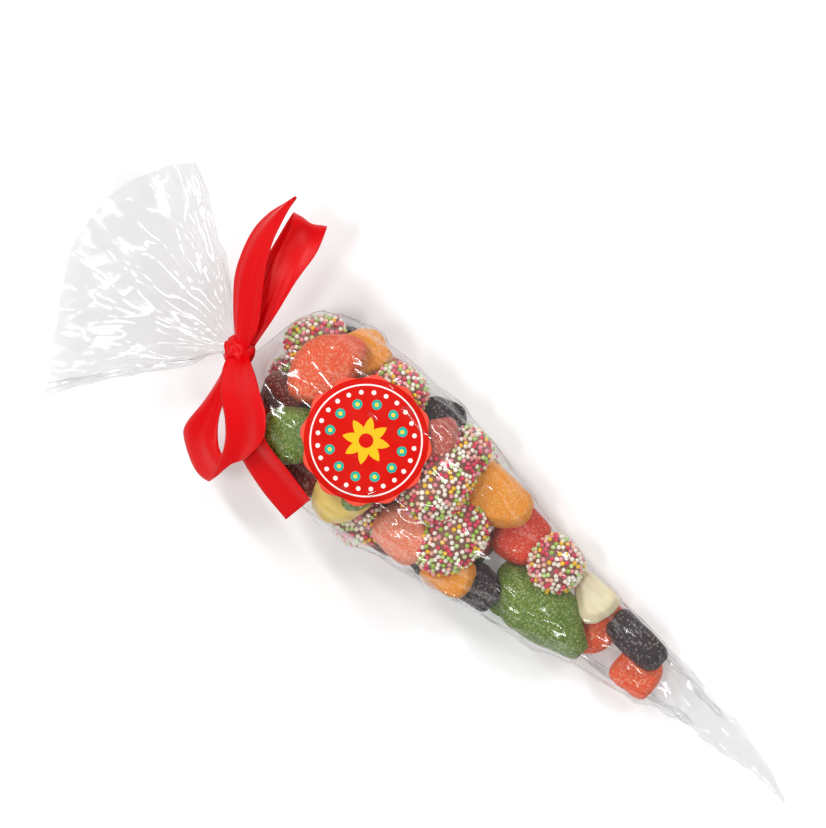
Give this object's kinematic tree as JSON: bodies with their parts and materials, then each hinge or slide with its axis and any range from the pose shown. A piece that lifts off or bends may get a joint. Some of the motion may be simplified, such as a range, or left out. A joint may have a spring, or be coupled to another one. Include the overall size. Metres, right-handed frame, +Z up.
{
  "type": "tied bag of sweets",
  "caption": "Clear cone-shaped film bag filled with mixed sugared sweets, lying on its side, gathered at the neck with a red satin bow and marked with a scalloped sticker.",
  "frame": {"origin": "centre of the bounding box at table height, bag lying on its side", "axes": "+Z up, +X along the bag towards its closed point, +Y to the left of that"},
  "size_m": [0.3578, 0.1214, 0.0602],
  "materials": {
    "clear_film": "clear glossy film, crumpled",
    "red_satin": "woven satin sheen",
    "sticker_paper": "printed semi-gloss label",
    "sugar_orange": "coated with sugar grain",
    "sugar_red": "coated with sugar grain",
    "sugar_amber": "coated with sugar grain",
    "sugar_green": "coated with sugar grain",
    "sugar_dark_red": "coated with sugar grain",
    "sugar_purple": "coated with sugar grain",
    "sugar_rose": "coated with sugar grain",
    "sugar_salmon": "coated with sugar grain",
    "sugar_beads": "coated with sugar beads",
    "foam_cream": "smooth, powdery",
    "foam_yellow": "smooth, powdery"
  },
  "bodies": {
    "root": {"bag_film": "clear_film", "disc_big": "sugar_beads", "disc_front": "sugar_beads", "disc_low": "sugar_beads", "disc_mid": "sugar_beads", "disc_second": "sugar_beads", "disc_shoulder": "sugar_beads", "disc_top": "sugar_beads", "foam_cream": "foam_cream", "foam_yellow": "foam_yellow", "inner_01": "sugar_orange", "inner_02": "sugar_purple", "inner_03": "sugar_beads", "inner_04": "sugar_green", "inner_05": "sugar_amber", "inner_06": "sugar_dark_red", "inner_07": "foam_cream", "inner_08": "sugar_red", "inner_09": "sugar_orange", "inner_10": "sugar_purple", "inner_11": "sugar_beads", "inner_12": "sugar_green", "inner_13": "sugar_amber", "inner_14": "sugar_dark_red", "inner_15": "foam_cream", "inner_16": "sugar_red", "inner_17": "sugar_orange", "inner_18": "sugar_purple", "inner_19": "sugar_beads", "inner_20": "sugar_green", "inner_21": "sugar_amber", "inner_22": "sugar_dark_red", "inner_23": "foam_cream", "jelly_amber_low": "sugar_amber", "jelly_amber_top": "sugar_amber", "jelly_amber_wedge": "sugar_amber", "jelly_brown": "sugar_dark_red", "jelly_darkgreen": "sugar_green", "jelly_darkred": "sugar_dark_red", "jelly_darkred_back": "sugar_dark_red", "jelly_green": "sugar_green", "jelly_green_under": "sugar_green", "jelly_lobed": "sugar_green", "jelly_orange_end": "sugar_orange", "jelly_orange_tip": "sugar_orange", "jelly_orange_top": "sugar_orange", "jelly_purple_low": "sugar_purple", "jelly_purple_tip": "sugar_purple", "jelly_purple_top": "sugar_purple", "jelly_red": "sugar_red", "jelly_rose": "sugar_rose", "jelly_salmon": "sugar_salmon", "jelly_under_one": "sugar_orange", "jelly_under_two": "sugar_amber", "ribbon": "red_satin", "sticker": "sticker_paper"}
  },
  "joints": []
}
